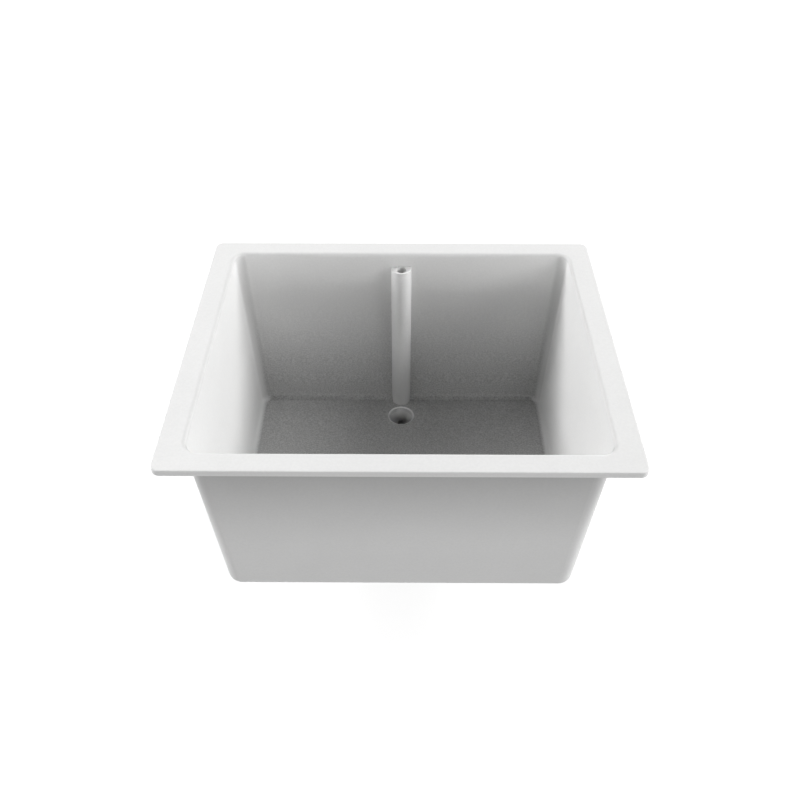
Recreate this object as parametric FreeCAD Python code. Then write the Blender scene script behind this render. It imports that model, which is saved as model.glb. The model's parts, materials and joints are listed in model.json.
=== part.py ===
import FreeCAD, Part
import math
import os

# A drop-in laboratory sink moulded in white polypropylene: a drafted bowl with a flat rim, an overflow
# column on its back wall, and an outlet fitting with a union connection under the floor.
# The origin is the middle of the rim's seat on the bench top. +X runs along the rim to the right,
# +Y to the back wall and +Z up. Lengths are in millimetres and angles in degrees.

# Rim
rim_length = 550.0
rim_width = 450.0
rim_thickness = 8.0
rim_corner_radius = 10.0
rim_edge_radius = 1.5
side_margin = 32.0  # from the rim's left and right edges to the bowl's inner wall, at the rim's top
end_margin = 29.0  # the same from the rim's front and back edges
mouth_radius = 5.5  # rounding from the rim's top into the bowl
under_rim_radius = 1.0

# Bowl
bowl_height = 283.0  # from the rim's top to the underside of the floor
wall_thickness = 4.0
floor_thickness = 5.0  # at the back, where the floor is thinnest
side_draft = 2.2
front_draft = 3.0  # of the front and back walls
floor_fall = 0.6  # slope of the floor down to the back
bowl_corner_radius = 17.0
floor_radius = 10.5  # inside, between floor and walls
underside_radius = 11.0  # outside, between floor and walls

# Seal under the rim
groove_setback = 6.0  # from the rim's outer edge
groove_width = 10.0
groove_depth = 3.0
seal_side_clearance = 0.2

# Drain
drain_to_wall = 43.0  # from the drain's axis to the back wall at the floor
drain_diameter = 38.0
drain_edge_radius = 2.4
pad_depth = 3.0  # flat pad under the floor that the outlet fitting is welded to
drain_surround = 9.0  # wall round the drain in the pad and the fitting

# Overflow column
column_width = 30.0
column_depth = 18.0
column_drop = 21.5  # from the rim's top down to the column's top
column_edge_radius = 0.8
overflow_diameter = 15.0
overflow_to_wall = 8.5  # from the overflow's axis to the back wall
foot_relief = 1.0  # the foot's back edge is rounded more than the floor by this
spigot_wall = 1.5
spigot_length = 22.0
spigot_clearance = 0.15
overflow_seal_thickness = 2.0
overflow_surround = 4.5  # wall round the spigot in the pad and the fitting

# Outlet fitting
fitting_depth = 40.0
fitting_edge_radius = 2.0
passage_diameter = 12.0
passage_drop = 36.0  # from the floor at the back wall down to the axis of the cross passage
thread_diameter = 47.8
thread_length = 18.0
thread_chamfer = 1.5

# Union connection
outlet_seal_thickness = 3.0
pipe_diameter = 40.0
pipe_wall = 3.0
pipe_length = 28.0  # free length that the drain pipe goes on
neck_step = 1.0  # the neck inside the nut is thicker than the pipe by this
neck_clearance = 0.3  # between the neck and the rings round it
nut_to_pipe = 2.0  # from the nut's end to the start of the pipe
tail_chamfer = 1.0
flange_thickness = 4.0
flange_clearance = 0.6  # between the nut's bore and the flange and rings in it
slip_ring_thickness = 1.5
nut_engagement = 14.0  # length of thread that the tight nut covers
nut_clearance = 0.1  # between the nut's bore and the stub's thread
nut_wall = 5.0
nut_shoulder = 4.0
nut_chamfer = 1.5
nut_rib_count = 10
nut_rib_radius = 3.0

# Heights and places that follow from those sizes
rim_top = rim_thickness
bowl_bottom = rim_top - bowl_height
floor_back = bowl_bottom + floor_thickness
column_top = rim_top - column_drop
pad_bottom = bowl_bottom - pad_depth
fitting_bottom = pad_bottom - fitting_depth
stub_end = fitting_bottom - thread_length
tail_face = stub_end - outlet_seal_thickness
flange_bottom = tail_face - flange_thickness
slip_ring_bottom = flange_bottom - slip_ring_thickness
nut_bottom = slip_ring_bottom - nut_shoulder
neck_end = nut_bottom - nut_to_pipe
tail_end = neck_end - pipe_length

drain_radius = drain_diameter / 2
overflow_radius = overflow_diameter / 2
spigot_radius = overflow_radius + spigot_wall
socket_radius = spigot_radius + spigot_clearance
thread_radius = thread_diameter / 2
nut_bore_radius = thread_radius + nut_clearance
flange_radius = nut_bore_radius - flange_clearance
pipe_radius = pipe_diameter / 2
neck_radius = pipe_radius + neck_step
neck_hole_radius = neck_radius + neck_clearance

beyond = 20.0  # how far a cutting tool runs past what it cuts

Vec = FreeCAD.Vector


def slope(angle):
    return math.tan(math.radians(angle))


def half_sizes(z, outset):
    """Half length and half width of the bowl at height z, measured outset from its inner wall."""
    drop = rim_top - z
    half_length = rim_length / 2 - side_margin - drop * slope(side_draft) + outset
    half_width = rim_width / 2 - end_margin - drop * slope(front_draft) + outset
    return half_length, half_width


wall_foot = half_sizes(floor_back, 0.0)[1]  # y of the back wall's inner face where it meets the floor
drain_y = wall_foot - drain_to_wall


def cylinder(radius, bottom, top, y):
    return Part.makeCylinder(radius, top - bottom, Vec(0, y, bottom))


def ring(outer, inner, bottom, top, y):
    return cylinder(outer, bottom, top, y).cut(cylinder(inner, bottom, top, y))


def edges_within(shape, low, high, margin=0.01):
    """Edges that lie wholly inside the box from low to high, both given as (x, y, z)."""
    box = FreeCAD.BoundBox(*low, *high)
    box.enlarge(margin)
    return [edge for edge in shape.Edges if box.isInside(edge.BoundBox)]


def edges_at_height(shape, z, half_length, half_width):
    """Edges on the level z that lie inside the rectangle of those half sizes."""
    return edges_within(shape, (-half_length, -half_width, z), (half_length, half_width, z))


def rising_edges(shape, height):
    """Edges that climb at least this far, such as the corners of a block."""
    return [edge for edge in shape.Edges if edge.BoundBox.ZLength > height]


def below_floor():
    """A block whose top is the floor's plane, which falls to the back wall."""
    size = 2 * (rim_length + rim_width)
    block = Part.makeBox(size, size, size, Vec(-size / 2, -size / 2, -size))
    block.rotate(Vec(), Vec(1, 0, 0), -floor_fall)
    block.translate(Vec(0, wall_foot, floor_back))
    return block


def drafted_block(top, bottom, outset):
    """The bowl's drafted form between two heights, with flat sides and sharp corners."""
    top_length, top_width = half_sizes(top, outset)
    bottom_length, bottom_width = half_sizes(bottom, outset)
    block = Part.makeWedge(
        -bottom_length, bottom, -bottom_width, -top_width, -top_length,
        bottom_length, top, bottom_width, top_width, top_length,
    )
    block.rotate(Vec(), Vec(1, 0, 0), 90)
    return block


def bowl_space():
    """The space inside the bowl, running out past the rim's top."""
    space = drafted_block(rim_top + beyond, floor_back - beyond, 0.0).cut(below_floor())
    space = space.makeFillet(bowl_corner_radius, rising_edges(space, bowl_height / 2))
    highest_floor = floor_back + slope(floor_fall) * 2 * wall_foot
    half_length, half_width = half_sizes(highest_floor, 0.0)
    low = (-half_length, -half_width, floor_back)
    high = (half_length, half_width, highest_floor + floor_radius)
    return space.makeFillet(floor_radius, edges_within(space, low, high))


def bowl_shell():
    """The bowl's outer form, from inside the rim's plate to the underside of the floor."""
    shell = drafted_block(rim_top / 2, bowl_bottom, wall_thickness)
    corner_radius = bowl_corner_radius + wall_thickness
    shell = shell.makeFillet(corner_radius, rising_edges(shell, bowl_height / 2))
    half_length, half_width = half_sizes(bowl_bottom, wall_thickness)
    return shell.makeFillet(underside_radius, edges_at_height(shell, bowl_bottom, half_length, half_width))


def rounded_plate(half_length, half_width, corner_radius, bottom, top):
    corner = Vec(-half_length, -half_width, bottom)
    plate = Part.makeBox(2 * half_length, 2 * half_width, top - bottom, corner)
    return plate.makeFillet(corner_radius, rising_edges(plate, (top - bottom) / 2))


def rim_band(setback, width, bottom, top):
    """A band of that width under the rim, set back from its outer edge."""
    plates = []
    for inset in (setback, setback + width):
        corner_radius = max(rim_corner_radius - inset, rim_edge_radius)
        half_length = rim_length / 2 - inset
        half_width = rim_width / 2 - inset
        plates.append(rounded_plate(half_length, half_width, corner_radius, bottom, top))
    return plates[0].cut(plates[1])


def on_back_wall(shape):
    """Lean a shape that is drawn against the plane y = 0 on the bowl's back wall, with its foot on the floor."""
    shape.rotate(Vec(), Vec(1, 0, 0), -front_draft)
    shape.translate(Vec(0, wall_foot, floor_back))
    return shape


def overflow_cylinder(radius, bottom, top):
    """A cylinder on the overflow's axis, between two distances along the wall from its foot."""
    return on_back_wall(cylinder(radius, bottom, top, -overflow_to_wall))


def outlet_outline(bottom, top):
    """A pear-shaped block that takes in the drain and the overflow's spigot."""
    drain_round = drain_radius + drain_surround
    lobe_round = socket_radius + overflow_surround
    lobe_y = wall_foot - overflow_to_wall
    lean = math.asin((drain_round - lobe_round) / (lobe_y - drain_y))
    side = Vec(math.cos(lean), math.sin(lean), 0)
    mirrored = Vec(-side.x, side.y, 0)
    drain_centre = Vec(0, drain_y, bottom)
    lobe_centre = Vec(0, lobe_y, bottom)
    right_front = drain_centre + side * drain_round
    right_back = lobe_centre + side * lobe_round
    left_back = lobe_centre + mirrored * lobe_round
    left_front = drain_centre + mirrored * drain_round
    outline = Part.Wire([
        Part.Arc(left_front, drain_centre - Vec(0, drain_round, 0), right_front).toShape(),
        Part.makeLine(right_front, right_back),
        Part.Arc(right_back, lobe_centre + Vec(0, lobe_round, 0), left_back).toShape(),
        Part.makeLine(left_back, left_front),
    ])
    return Part.Face(outline).extrude(Vec(0, 0, top - bottom))


def basin():
    rim = rounded_plate(rim_length / 2, rim_width / 2, rim_corner_radius, 0.0, rim_top)
    pad = outlet_outline(pad_bottom, bowl_bottom + underside_radius)
    body = rim.fuse([bowl_shell(), pad]).removeSplitter()
    body = body.cut(bowl_space())
    mouth = edges_at_height(body, rim_top, *half_sizes(rim_top, 0.0))
    body = body.makeFillet(mouth_radius, mouth)
    under_rim = edges_at_height(body, 0.0, *half_sizes(0.0, wall_thickness))
    body = body.makeFillet(under_rim_radius, under_rim)
    inner_length = rim_length / 2 - rim_edge_radius
    outer_edges = [
        edge
        for edge in edges_at_height(body, rim_top, rim_length / 2, rim_width / 2)
        if edge.BoundBox.XMax > inner_length or edge.BoundBox.XMin < -inner_length
    ]
    body = body.makeFillet(rim_edge_radius, outer_edges)
    body = body.cut(rim_band(groove_setback, groove_width, 0.0, groove_depth))
    body = body.cut(cylinder(drain_radius, pad_bottom - beyond, floor_back + beyond, drain_y))
    low = (-drain_radius, drain_y - drain_radius, floor_back)
    high = (drain_radius, drain_y + drain_radius, floor_back + drain_diameter)
    body = body.makeFillet(drain_edge_radius, edges_within(body, low, high))
    return body.cut(overflow_cylinder(socket_radius, -beyond, floor_radius))


def rim_seal():
    setback = groove_setback + seal_side_clearance
    width = groove_width - 2 * seal_side_clearance
    return rim_band(setback, width, 0.0, groove_depth)


def column_profile():
    half = column_width / 2
    straight = column_depth - half
    back_left = Vec(-half, 0, 0)
    back_right = Vec(half, 0, 0)
    front_right = Vec(half, -straight, 0)
    front_left = Vec(-half, -straight, 0)
    return Part.Face(Part.Wire([
        Part.makeLine(back_left, back_right),
        Part.makeLine(back_right, front_right),
        Part.Arc(front_right, Vec(0, -column_depth, 0), front_left).toShape(),
        Part.makeLine(front_left, back_left),
    ]))


def overflow_column():
    height = column_top - floor_back
    prism = column_profile().extrude(Vec(0, 0, height + 2 * beyond))
    prism.translate(Vec(0, 0, -beyond))
    column = on_back_wall(prism).cut(below_floor())
    above = Part.makeBox(rim_length, rim_width, bowl_height, Vec(-rim_length / 2, 0, column_top))
    column = column.cut(above)
    half = column_width / 2
    foot = edges_within(column, (-half, wall_foot, floor_back), (half, wall_foot, floor_back))
    column = column.makeFillet(floor_radius + foot_relief, foot)
    top_front = wall_foot + height * slope(front_draft) - column_edge_radius
    rounded = [
        edge
        for edge in edges_at_height(column, column_top, half, rim_width)
        if edge.BoundBox.YMin < top_front
    ]
    column = column.makeFillet(column_edge_radius, rounded)
    column = column.fuse(overflow_cylinder(spigot_radius, -spigot_length, floor_radius)).removeSplitter()
    return column.cut(overflow_cylinder(overflow_radius, -spigot_length - beyond, height + beyond))


def overflow_seal():
    bottom = -spigot_length - overflow_seal_thickness
    seal = overflow_cylinder(spigot_radius, bottom, -spigot_length)
    return seal.cut(overflow_cylinder(overflow_radius, bottom, -spigot_length))


def outlet_fitting():
    block = outlet_outline(fitting_bottom, pad_bottom)
    foot = [edge for edge in block.Edges if edge.BoundBox.ZMax < fitting_bottom + fitting_edge_radius]
    block = block.makeFillet(fitting_edge_radius, foot)
    stub = cylinder(thread_radius, stub_end, fitting_bottom, drain_y)
    stub_foot = [edge for edge in stub.Edges if edge.BoundBox.ZMax < stub_end + thread_chamfer]
    stub = stub.makeChamfer(thread_chamfer, stub_foot)
    body = block.fuse(stub).removeSplitter()
    body = body.cut(cylinder(drain_radius, stub_end, pad_bottom, drain_y))
    socket_bottom = -spigot_length - overflow_seal_thickness
    body = body.cut(overflow_cylinder(socket_radius, socket_bottom, 0.0))
    body = body.cut(overflow_cylinder(overflow_radius, -passage_drop, 0.0))
    passage = Part.makeCylinder(
        passage_diameter / 2,
        drain_to_wall - overflow_to_wall - passage_drop * slope(front_draft),
        Vec(0, drain_y, floor_back - passage_drop),
        Vec(0, 1, 0),
    )
    return body.cut(passage)


def outlet_seal():
    return ring(flange_radius, drain_radius, tail_face, stub_end, drain_y)


def outlet_tail():
    pipe = cylinder(pipe_radius, tail_end, tail_face, drain_y)
    pipe_foot = [edge for edge in pipe.Edges if edge.BoundBox.ZMax < tail_end + tail_chamfer]
    pipe = pipe.makeChamfer(tail_chamfer, pipe_foot)
    neck = cylinder(neck_radius, neck_end, tail_face, drain_y)
    flange = cylinder(flange_radius, flange_bottom, tail_face, drain_y)
    tail = pipe.fuse([neck, flange]).removeSplitter()
    return tail.cut(cylinder(pipe_radius - pipe_wall, tail_end, tail_face, drain_y))


def slip_ring():
    return ring(flange_radius, neck_hole_radius, slip_ring_bottom, flange_bottom, drain_y)


def union_nut():
    top = stub_end + nut_engagement
    outer_radius = nut_bore_radius + nut_wall
    body = cylinder(outer_radius, nut_bottom, top, drain_y)
    rims = [edge for edge in body.Edges if edge.BoundBox.ZLength < nut_chamfer]
    body = body.makeChamfer(nut_chamfer, rims)
    ribs = []
    for index in range(nut_rib_count):
        rib = Part.makeCylinder(
            nut_rib_radius,
            top - nut_bottom - 2 * nut_chamfer,
            Vec(outer_radius, drain_y, nut_bottom + nut_chamfer),
        )
        rib.rotate(Vec(0, drain_y, 0), Vec(0, 0, 1), index * 360.0 / nut_rib_count)
        ribs.append(rib)
    body = body.fuse(ribs)
    body = body.cut(cylinder(nut_bore_radius, slip_ring_bottom, top, drain_y))
    return body.cut(cylinder(neck_hole_radius, nut_bottom, top, drain_y))


makers = [
    basin,
    overflow_column,
    overflow_seal,
    outlet_fitting,
    rim_seal,
    outlet_seal,
    outlet_tail,
    slip_ring,
    union_nut,
]

os.makedirs("parts", exist_ok=True)
for maker in makers:
    shape = maker()
    shape.exportStep(f"parts/{maker.__name__}.step")
    print(maker.__name__, shape.isValid(), len(shape.Solids), round(shape.Volume, 1))
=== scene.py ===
import json
import math

import bmesh
import bpy
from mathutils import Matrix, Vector


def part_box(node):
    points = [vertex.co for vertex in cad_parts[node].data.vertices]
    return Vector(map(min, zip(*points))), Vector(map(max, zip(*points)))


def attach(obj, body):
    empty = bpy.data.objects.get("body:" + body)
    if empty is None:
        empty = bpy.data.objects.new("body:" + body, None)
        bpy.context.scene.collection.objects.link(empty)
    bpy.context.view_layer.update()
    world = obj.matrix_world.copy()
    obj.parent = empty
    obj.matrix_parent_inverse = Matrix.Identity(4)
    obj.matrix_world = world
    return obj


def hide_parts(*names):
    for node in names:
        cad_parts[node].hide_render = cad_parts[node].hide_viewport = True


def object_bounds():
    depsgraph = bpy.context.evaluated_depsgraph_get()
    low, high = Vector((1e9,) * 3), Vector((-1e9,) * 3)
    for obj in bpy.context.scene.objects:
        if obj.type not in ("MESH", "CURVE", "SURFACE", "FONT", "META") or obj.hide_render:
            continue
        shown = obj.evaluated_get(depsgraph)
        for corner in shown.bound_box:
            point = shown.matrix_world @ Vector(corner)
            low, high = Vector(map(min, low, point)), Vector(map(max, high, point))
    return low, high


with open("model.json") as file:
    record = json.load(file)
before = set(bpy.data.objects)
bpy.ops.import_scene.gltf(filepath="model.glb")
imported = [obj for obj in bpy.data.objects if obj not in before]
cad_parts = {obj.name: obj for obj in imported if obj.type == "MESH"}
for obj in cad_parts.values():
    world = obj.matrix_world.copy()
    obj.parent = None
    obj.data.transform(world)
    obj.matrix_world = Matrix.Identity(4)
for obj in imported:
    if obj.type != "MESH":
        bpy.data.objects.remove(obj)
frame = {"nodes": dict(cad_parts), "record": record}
cad_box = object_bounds()

# Lengths are in metres and angles in degrees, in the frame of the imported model: the rim rests on a bench
# at z = 0, and +Y points to the sink's back wall.

# Camera, matched to the photograph's view of the rim's corners
camera_place = (0.003596, -0.803794, 0.678175)
camera_pitch = 44.075  # below the level
camera_yaw = -0.322  # to the right of +Y
camera_lens = 36.332
camera_sensor = 36.0

# Studio
floor_reach = 12.0
floor_room = 0.016  # below the part, so that its tail can come down
floor_shade = 0.25
lift_near = 0.5  # distances from the sink's middle between which the floor goes up to white
lift_far = 2.0
lift_least = 0.86  # of white, nearer than that
lamp_distance = 5.0
lamp_target = (0.0, 0.0, -0.1)
key_size = (2.3, 1.2)
wide_size = (3.4, 2.1)
front_size = (2.3, 1.1)
back_size = (2.3, 1.5)

# Moulded colour and gloss
cloud_size = 0.09
cloud_detail = 3
cloud_share = 0.4  # of the change in colour, with the rest from specks
speck_detail = 2
sheen_size = 0.02
sheen_detail = 3
sheen_spread = 0.05  # of the roughness, each way
noise_middle = (0.3, 0.7)  # where nearly all of a noise's values lie

# Painted shade inside the bowl: darker with depth, in the creases and in the corners, with painted light
# near the mouth. Losses and gains are shares of the colour.
bowl_middle = (0.0, 0.0, -0.05)  # what faces it is the bowl's inside
depth_shade_start = -0.025  # heights between which painted shade darkens the inside
depth_shade_end = -0.25
depth_shade_limit = -0.2735  # what lies lower isn't inside the bowl
depth_shade_loss = 0.39  # painted shade at the floor
depth_shade_speck = 0.14  # how much that loss changes from speck to speck, each way
depth_shade_speck_size = 0.0022
crease_shade = 0.19  # painted shade at the floor's front and back edges, beside the floor's
corner_shade = 0.20  # painted shade in the upright corners
side_shade_share = 0.10  # how much painted shade the side walls get, as a share of what the rest gets
mouth_shade = 0.09  # painted shade on the rounded upper edges of the side walls
wall_painted_light = 0.05  # painted light on the walls near the mouth
wall_painted_light_end = -0.10
column_start = -0.13  # height below which painted shade darkens the column
column_kept = 0.70  # of its colour kept under the painted shade at the foot

# Where the bowl's surfaces turn into each other, by the parts of their normals
crease_start = (0.30, 0.75)  # upward part, from a wall into the rounding at its foot
crease_end = (0.97, 0.9995)  # upward part, from that rounding into the floor
back_end = (0.05, 0.35)  # sideways part, from the front or back wall into an upright corner
side_start = (0.20, 0.90)  # sideways part, from an upright corner into a side wall
corner_turn = (0.12, 0.45)  # sideways part times lengthways part, from a wall to a corner's middle
mouth_start = (0.24, 0.80)  # sideways part, from the rim into the rounding above a side wall
mouth_end = (0.10, 0.35)  # upward part, from a wall into the rounding above it

# Painted shadow under the rim, and a painted highlight round the drain
under_rim = 0.0  # height of the rim's underside, where the painted shadow on the outside is darkest
under_rim_end = -0.19
# darkest painted shadow under the rim, as a share of the colour
under_rim_shadow = 0.36
drain_edge = 0.0202  # radius of the rounded edge round the drain
drain_edge_width = 0.0030
drain_edge_soft = 0.0008
# pale painted highlight on the drain's rounded edge
drain_highlight_shade = 0.92

# Thread on the outlet's stub, a 55 degree form with 11 turns to the inch
thread_radius = 0.0239
thread_length = 0.018  # of the cutter, which starts one pitch below the stub
thread_pitch = 0.002309
thread_depth = 0.00148
thread_relief = 0.0005  # how far the cutter stands out of the stub
thread_mouth = 0.0021  # width of the cutter out there
thread_steps = 64  # in one turn
smooth_angle = 30  # up to which faces are shaded as one


def add_camera():
    data = bpy.data.cameras.new("photo_camera")
    data.sensor_width = camera_sensor
    data.lens = camera_lens
    camera = bpy.data.objects.new("photo_camera", data)
    camera.location = camera_place
    camera.rotation_euler = [math.radians(angle) for angle in (90 - camera_pitch, 0, -camera_yaw)]
    bpy.context.scene.collection.objects.link(camera)
    bpy.context.scene.camera = camera


def add_softbox(name, azimuth, elevation, size, level):
    """A softbox that gives a white surface facing it about that share of full white.

    Azimuth 0 is in front of the sink, and 90 is to its right.
    """
    data = bpy.data.lights.new(name, "AREA")
    data.shape = "RECTANGLE"
    data.size, data.size_y = size
    data.energy = level * (math.pi * lamp_distance) ** 2
    turn, rise = math.radians(azimuth), math.radians(elevation)
    away = Vector((math.sin(turn) * math.cos(rise), -math.cos(turn) * math.cos(rise), math.sin(rise)))
    light = bpy.data.objects.new(name, data)
    light.location = Vector(lamp_target) + away * lamp_distance
    light.rotation_euler = away.to_track_quat("Z", "Y").to_euler()
    bpy.context.scene.collection.objects.link(light)


def add_lights():
    """Softboxes on both sides, a little before and behind the sink, and weak ones in front and behind."""
    for name, azimuth, elevation, size, level in (
        ("right_front", 80, 29, wide_size, 0.57),
        ("right_back", 110, 26, key_size, 0.63),
        ("left_front", -80, 26, wide_size, 0.18),
        ("left_back", -110, 26, key_size, 0.78),
        ("front_fill", 0, 5, front_size, 0.33),
        ("back_fill", -150, 50, back_size, 0.15),
    ):
        add_softbox(name, azimuth, elevation, size, level)


def fill(tree, sockets, values):
    """Give each socket a value, or link it to another node's output."""
    for socket, value in zip(sockets, values):
        if isinstance(value, bpy.types.NodeSocket):
            tree.links.new(value, socket)
        else:
            socket.default_value = value


def add_node(tree, kind, **inputs):
    """Add a shader node and fill its inputs, each with a value or with another node's output."""
    node = tree.nodes.new("ShaderNode" + kind)
    fill(tree, [node.inputs[name.replace("_", " ")] for name in inputs], inputs.values())
    return node


def calculate(tree, operation, *values):
    """The result of a Math node on values and other nodes' outputs."""
    node = add_node(tree, "Math")
    node.operation = operation
    fill(tree, node.inputs, values)
    return node.outputs["Value"]


def product(tree, *factors):
    """All the factors multiplied with each other."""
    whole = factors[0]
    for factor in factors[1:]:
        whole = calculate(tree, "MULTIPLY", whole, factor)
    return whole


def combine(tree, operation, *vectors):
    """A Vector Math node on vectors, each given by its parts or by another node's output."""
    node = add_node(tree, "VectorMath")
    node.operation = operation
    fill(tree, node.inputs, vectors)
    return node


def parts(tree, vector):
    """The X, Y and Z of a vector, as outputs of a node."""
    return add_node(tree, "SeparateXYZ", Vector=vector).outputs[:3]


def ramp(tree, value, start, end, low, high):
    """Go smoothly from low to high while the value goes from start to end."""
    node = add_node(tree, "MapRange", Value=value, From_Min=start, From_Max=end, To_Min=low, To_Max=high)
    node.interpolation_type = "SMOOTHSTEP"
    return node.outputs["Result"]


def noise(tree, place, size, detail):
    """Noise from 0 to 1 with features of about that size."""
    return add_node(tree, "TexNoise", Vector=place, Scale=1 / size, Detail=detail).outputs["Fac"]


def spread(tree, value, low, high):
    """Stretch the middle of a noise value over the range from low to high."""
    start, end = noise_middle
    node = add_node(tree, "MapRange", Value=value, From_Min=start, From_Max=end, To_Min=low, To_Max=high)
    return node.outputs["Result"]


def tint(tree, share, first, second):
    """Mix two colours, each given by its four parts or by another node's output."""
    mix = add_node(tree, "Mix")
    mix.data_type = "RGBA"
    colours = mix.inputs[6:8]  # the sockets between the factor and these are for other types of data
    fill(tree, (mix.inputs[0], *colours), (share, first, second))
    return mix.outputs[2]


def grey(shade):
    """The four parts of an opaque grey."""
    return shade, shade, shade, 1


def background_seen(tree):
    """1 for rays that show the background: from the camera, or by gloss or glass before a diffuse bounce."""
    path = add_node(tree, "LightPath").outputs
    seen = path["Is Camera Ray"]
    for ray in ("Is Glossy Ray", "Is Transmission Ray"):
        seen = calculate(tree, "MAXIMUM", seen, path[ray])
    return product(tree, seen, calculate(tree, "LESS_THAN", path["Diffuse Depth"], 1))


def add_world():
    """White for the rays that show the background, and no light for the rest."""
    world = bpy.data.worlds.new("studio")
    world.use_nodes = True
    tree = world.node_tree
    tree.nodes.clear()
    background = add_node(tree, "Background", Color=grey(1), Strength=background_seen(tree))
    add_node(tree, "OutputWorld", Surface=background.outputs[0])
    bpy.context.scene.world = world


def floor_material():
    """Pale and matt, with its colour lifted to white for the rays that show the background.

    The lift is least near the sink, so that the sink's shadow stays.
    """
    material = bpy.data.materials.new("studio_floor")
    material.use_nodes = True
    tree = material.node_tree
    tree.nodes.clear()
    away = combine(tree, "LENGTH", add_node(tree, "TexCoord").outputs["Object"]).outputs["Value"]
    lift = product(tree, background_seen(tree), ramp(tree, away, lift_near, lift_far, lift_least, 1.0))
    matt = add_node(tree, "BsdfDiffuse", Color=grey(floor_shade))
    glow = add_node(tree, "Emission", Strength=lift)
    both = add_node(tree, "AddShader")
    fill(tree, both.inputs, (matt.outputs[0], glow.outputs[0]))
    add_node(tree, "OutputMaterial", Surface=both.outputs[0])
    return material


def add_floor():
    bpy.ops.mesh.primitive_plane_add(size=2 * floor_reach, location=(0, 0, cad_box[0][2] - floor_room))
    floor = bpy.context.object
    floor.name = "studio_floor"
    floor.data.materials.append(floor_material())


def drain_axis():
    """X and Y of the drain's upright axis, from the ring seal under it."""
    low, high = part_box("outlet_seal")
    return (low[0] + high[0]) / 2, (low[1] + high[1]) / 2


def inside_shade_by_depth(tree, place, height, side, level):
    """Painted shade that darkens the inside with depth: most at the floor's front and back, least on the
    side walls.
    """
    speck = noise(tree, place, depth_shade_speck_size, speck_detail)
    floor = spread(tree, speck, depth_shade_loss - depth_shade_speck, depth_shade_loss + depth_shade_speck)
    # painted shade in the creases at the floor's front and back edges
    crease = product(
        tree,
        ramp(tree, level, *crease_start, 0.0, crease_shade),
        ramp(tree, level, *crease_end, 1.0, 0.0),
        ramp(tree, side, *back_end, 1.0, 0.0),
    )
    return product(
        tree,
        calculate(tree, "ADD", floor, crease),
        ramp(tree, height, depth_shade_start, depth_shade_end, 0.0, 1.0),
        calculate(tree, "GREATER_THAN", height, depth_shade_limit),
        ramp(tree, side, *side_start, 1.0, side_shade_share),
    )


def mouth_light_and_shade(tree, height, side, level):
    """Painted shade on the side walls' rounded upper edges, less the painted light that all walls gain below
    these.
    """
    loss = product(
        tree,
        ramp(tree, side, *mouth_start, 0.0, mouth_shade),
        ramp(tree, level, *mouth_end, 0.0, 1.0),
        calculate(tree, "GREATER_THAN", height, under_rim),
    )
    gain = product(
        tree,
        ramp(tree, level, *mouth_end, wall_painted_light, 0.0),
        ramp(tree, height, wall_painted_light_end, under_rim, 0.0, 1.0),
    )
    return calculate(tree, "SUBTRACT", loss, gain)


def inside_painted_shade_and_light(tree, place, normal):
    """Painted shade and light inside the bowl, as what its colour loses, by its height and by where its
    normal points.
    """
    height = parts(tree, place)[2]
    across, along, level = parts(tree, normal)
    side = calculate(tree, "ABSOLUTE", across)
    turn = calculate(tree, "ABSOLUTE", product(tree, across, along))
    depth = inside_shade_by_depth(tree, place, height, side, level)
    # painted shade in the upright corners
    corner = ramp(tree, turn, *corner_turn, 0.0, corner_shade)
    walls = calculate(tree, "ADD", depth, corner)
    return calculate(tree, "ADD", walls, mouth_light_and_shade(tree, height, side, level))


def outside_shadow(tree, place):
    """Painted shadow on the outer walls, as what they lose of their colour: most under the rim, and 0 on the
    rim.
    """
    height = parts(tree, place)[2]
    below = calculate(tree, "LESS_THAN", height, under_rim)
    return product(tree, below, ramp(tree, height, under_rim, under_rim_end, under_rim_shadow, 0.0))


def drain_highlight_ring(tree, place):
    """Where the painted highlight goes: 1 on the rounded edge round the drain, and 0 away from it."""
    level = combine(tree, "MULTIPLY", place, (1, 1, 0)).outputs["Vector"]
    aside = combine(tree, "DISTANCE", level, (*drain_axis(), 0)).outputs["Value"]
    off = calculate(tree, "ABSOLUTE", calculate(tree, "SUBTRACT", aside, drain_edge))
    return ramp(tree, off, drain_edge_width / 2 - drain_edge_soft, drain_edge_width / 2, 1.0, 0.0)


def bowl_painted_light_and_shade(tree, place, colour):
    """Paint shade and light into the colour inside the bowl, a shadow under the rim, and a highlight on the
    drain's edge.
    """
    normal = add_node(tree, "TexCoord").outputs["Normal"]
    outward = combine(tree, "SUBTRACT", place, bowl_middle).outputs["Vector"]
    facing = combine(tree, "DOT_PRODUCT", outward, normal).outputs["Value"]
    inside = product(tree, calculate(tree, "LESS_THAN", facing, 0), inside_painted_shade_and_light(tree, place, normal))
    outside = product(tree, calculate(tree, "GREATER_THAN", facing, 0), outside_shadow(tree, place))
    kept = calculate(tree, "SUBTRACT", calculate(tree, "SUBTRACT", 1, inside), outside)
    # the colour darkened by the painted shade and shadow
    darkened = combine(tree, "MULTIPLY", colour, kept).outputs["Vector"]
    return tint(tree, drain_highlight_ring(tree, place), darkened, grey(drain_highlight_shade))


def column_painted_shade(tree, place, colour):
    """Painted shade: darken the colour towards the column's foot."""
    kept = ramp(tree, parts(tree, place)[2], column_start, depth_shade_end, 1.0, column_kept)
    return combine(tree, "MULTIPLY", colour, kept).outputs["Vector"]


def relief(tree, place, layers):
    """Bumps on bumps: each layer gives a noise size, its detail and its height."""
    normal = None
    for size, detail, height in layers:
        bump = add_node(tree, "Bump", Height=noise(tree, place, size, detail), Distance=height)
        if normal:
            tree.links.new(normal, bump.inputs["Normal"])
        normal = bump.outputs["Normal"]
    return normal


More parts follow.
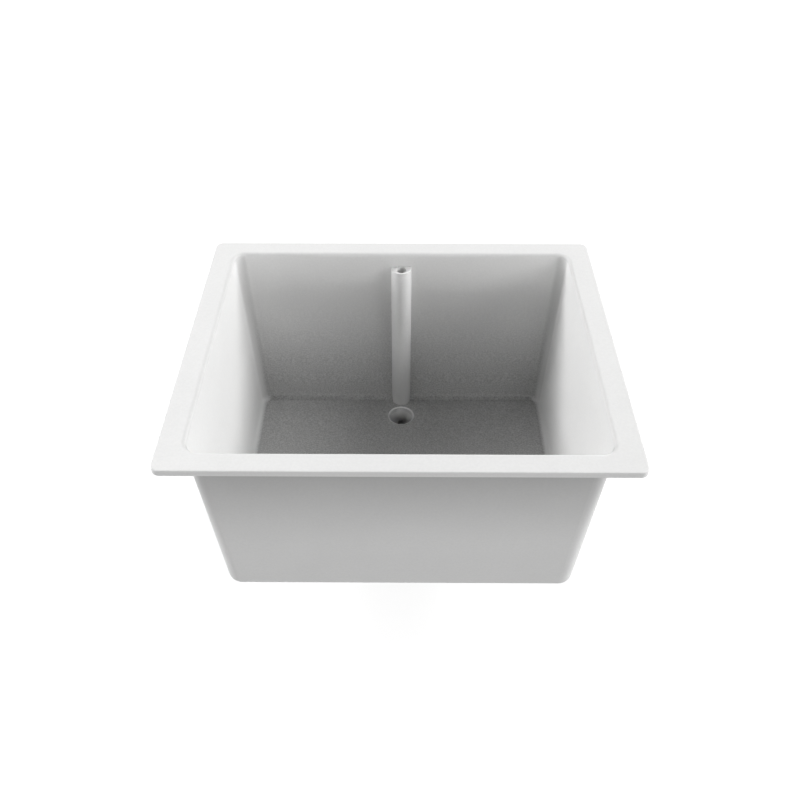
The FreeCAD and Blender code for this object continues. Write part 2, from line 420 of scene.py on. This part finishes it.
def cloudy(tree, place, colour, contrast, speck_size):
    """A colour that is lighter and darker in clouds and in specks."""
    cloud = spread(tree, noise(tree, place, cloud_size, cloud_detail), 0.0, cloud_share)
    speck = spread(tree, noise(tree, place, speck_size, speck_detail), 0.0, 1 - cloud_share)
    dark = [part * (1 - contrast) for part in colour] + [1]
    light = [part * (1 + contrast) for part in colour] + [1]
    return tint(tree, calculate(tree, "ADD", cloud, speck), dark, light)


def moulded(name, colour, contrast, roughness, gloss, speck_size, layers, painted_shading=None):
    """A moulded material: cloudy and speckled colour, uneven gloss and a fine grain."""
    material = bpy.data.materials.new(name)
    material.use_nodes = True
    tree = material.node_tree
    place = add_node(tree, "TexCoord").outputs["Object"]
    shade = cloudy(tree, place, colour, contrast, speck_size)
    # painted shade and light, for the materials that have them
    if painted_shading:
        shade = painted_shading(tree, place, shade)
    sheen = noise(tree, place, sheen_size, sheen_detail)
    uneven = spread(tree, sheen, roughness - sheen_spread, roughness + sheen_spread)
    shader = tree.nodes["Principled BSDF"].inputs
    shader["Specular IOR Level"].default_value = gloss
    tree.links.new(shade, shader["Base Color"])
    tree.links.new(uneven, shader["Roughness"])
    tree.links.new(relief(tree, place, layers), shader["Normal"])
    return material


def node_materials():
    """Materials by the name of a node that has its own, or else by the record's material slot."""
    grain = [(0.0300, 2, 0.00008), (0.0016, 2, 0.00003)]
    turned = [(0.0120, 2, 0.00004), (0.0009, 2, 0.00002)]
    rough = [(0.0060, 2, 0.00006), (0.0007, 3, 0.00005)]
    white = dict(contrast=0.03, roughness=0.40, gloss=0.45, speck_size=0.0030, layers=grain)
    pipe = dict(contrast=0.04, roughness=0.36, gloss=0.50, speck_size=0.0022, layers=turned)
    ring = dict(contrast=0.04, roughness=0.45, gloss=0.40, speck_size=0.0022, layers=turned)
    rubber = dict(contrast=0.18, roughness=0.72, gloss=0.35, speck_size=0.0018, layers=rough)
    return {
        "basin": moulded("basin_white", (0.80, 0.80, 0.796), painted_shading=bowl_painted_light_and_shade, **white),
        # painted light: the column's and the fitting's whites are lighter copies of the basin's, to brighten
        # them where they lie in shade
        "overflow_column": moulded("column_white", (0.87, 0.87, 0.866), painted_shading=column_painted_shade, **white),
        "outlet_fitting": moulded("fitting_white", (0.85, 0.85, 0.846), **white),
        "pipe_polymer": moulded("pipe_white", (0.70, 0.70, 0.69), **pipe),
        "ring_polymer": moulded("ring_ivory", (0.56, 0.53, 0.45), **ring),
        "seal_rubber": moulded("seal_black", (0.030, 0.030, 0.031), **rubber),
    }


def dress_nodes(materials):
    for subpart in frame["record"]["subparts"]:
        name = subpart["node"]
        material = materials.get(name) or materials[subpart["material_slot"]]
        node = frame["nodes"][name]
        node.data.materials.clear()
        node.data.materials.append(material)


def helix_rows(form, axis, bottom, top):
    """Corners of the thread's cutter at each step of its helix: two outside the stub, one at the root."""
    outer = thread_radius + thread_relief
    root = thread_radius - thread_depth
    corners = ((outer, -thread_mouth / 2), (outer, thread_mouth / 2), (root, 0.0))
    rows = []
    for step in range(round((top - bottom) / thread_pitch * thread_steps) + 1):
        turn = 2 * math.pi * step / thread_steps
        height = bottom + thread_pitch * step / thread_steps
        rows.append([
            form.verts.new((axis[0] + out * math.cos(turn), axis[1] + out * math.sin(turn), height + rise))
            for out, rise in corners
        ])
    return rows


def helix_cutter(axis, bottom, top):
    """A swept triangle that cuts the groove of a right-handed thread between two heights."""
    form = bmesh.new()
    rows = helix_rows(form, axis, bottom, top)
    for low, high in zip(rows, rows[1:]):
        for first, second in ((0, 1), (1, 2), (2, 0)):
            form.faces.new((low[first], low[second], high[second], high[first]))
    form.faces.new(rows[0])
    form.faces.new(rows[-1])
    bmesh.ops.recalc_face_normals(form, faces=form.faces)
    mesh = bpy.data.meshes.new("thread_cutter")
    form.to_mesh(mesh)
    form.free()
    cutter = bpy.data.objects.new("thread_cutter", mesh)
    bpy.context.scene.collection.objects.link(cutter)
    return cutter


def cut_away(piece, cutter):
    """Take the cutter out of the piece for good, and shade what is left by its angles."""
    change = piece.modifiers.new("cut", "BOOLEAN")
    change.operation = "DIFFERENCE"
    change.solver = "EXACT"
    change.object = cutter
    evaluated = piece.evaluated_get(bpy.context.evaluated_depsgraph_get())
    mesh = bpy.data.meshes.new_from_object(evaluated)
    piece.modifiers.clear()
    piece.data = mesh
    bpy.data.objects.remove(cutter)
    if "custom_normal" in mesh.attributes:
        mesh.attributes.remove(mesh.attributes["custom_normal"])
    mesh.shade_smooth()
    mesh.set_sharp_from_angle(angle=math.radians(smooth_angle))


def add_threaded_outlet():
    """The outlet fitting with a real thread on its stub, in place of the plain one."""
    node = frame["nodes"]["outlet_fitting"]
    piece = bpy.data.objects.new("threaded_outlet", node.data.copy())
    bpy.context.scene.collection.objects.link(piece)
    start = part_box("outlet_fitting")[0][2] - thread_pitch
    cut_away(piece, helix_cutter(drain_axis(), start, start + thread_length))
    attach(piece, "sink")
    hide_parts("outlet_fitting")


bpy.context.scene.view_settings.view_transform = "Standard"
add_camera()
add_lights()
add_world()
add_floor()
dress_nodes(node_materials())
add_threaded_outlet()
